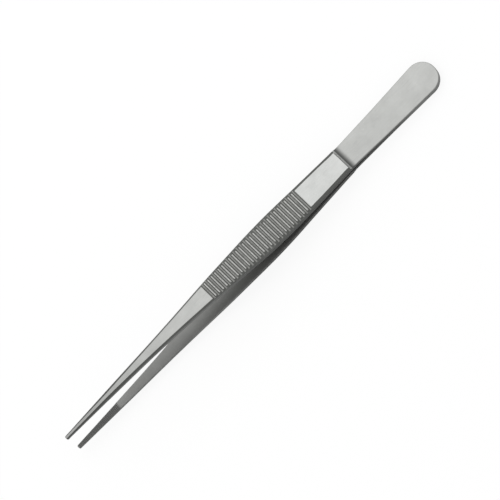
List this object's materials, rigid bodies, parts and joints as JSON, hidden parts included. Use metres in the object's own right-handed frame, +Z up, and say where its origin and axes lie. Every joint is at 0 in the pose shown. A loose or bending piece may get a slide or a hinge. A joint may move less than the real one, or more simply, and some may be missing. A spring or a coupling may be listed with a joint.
{
  "type": "thumb forceps",
  "caption": "Thumb forceps: paired spring arms welded at the butt, cross-grooved thumb grips, slender bevelled jaws with fine cross serrations.",
  "frame": {"origin": "on the surface that the forceps lie on, under the middle of the bounding box", "axes": "+X along the forceps from the butt towards the tips, +Y across the width of the arms, +Z up from the lower arm to the upper arm; the pair lies at rest on the lower arm's butt and on the bend in front of its grip"},
  "size_m": [0.1802, 0.0122, 0.0198],
  "materials": {
    "satin_steel": "satin stainless steel"
  },
  "bodies": {
    "root": {"upper_arm": "satin_steel", "lower_arm": "satin_steel"}
  },
  "joints": []
}
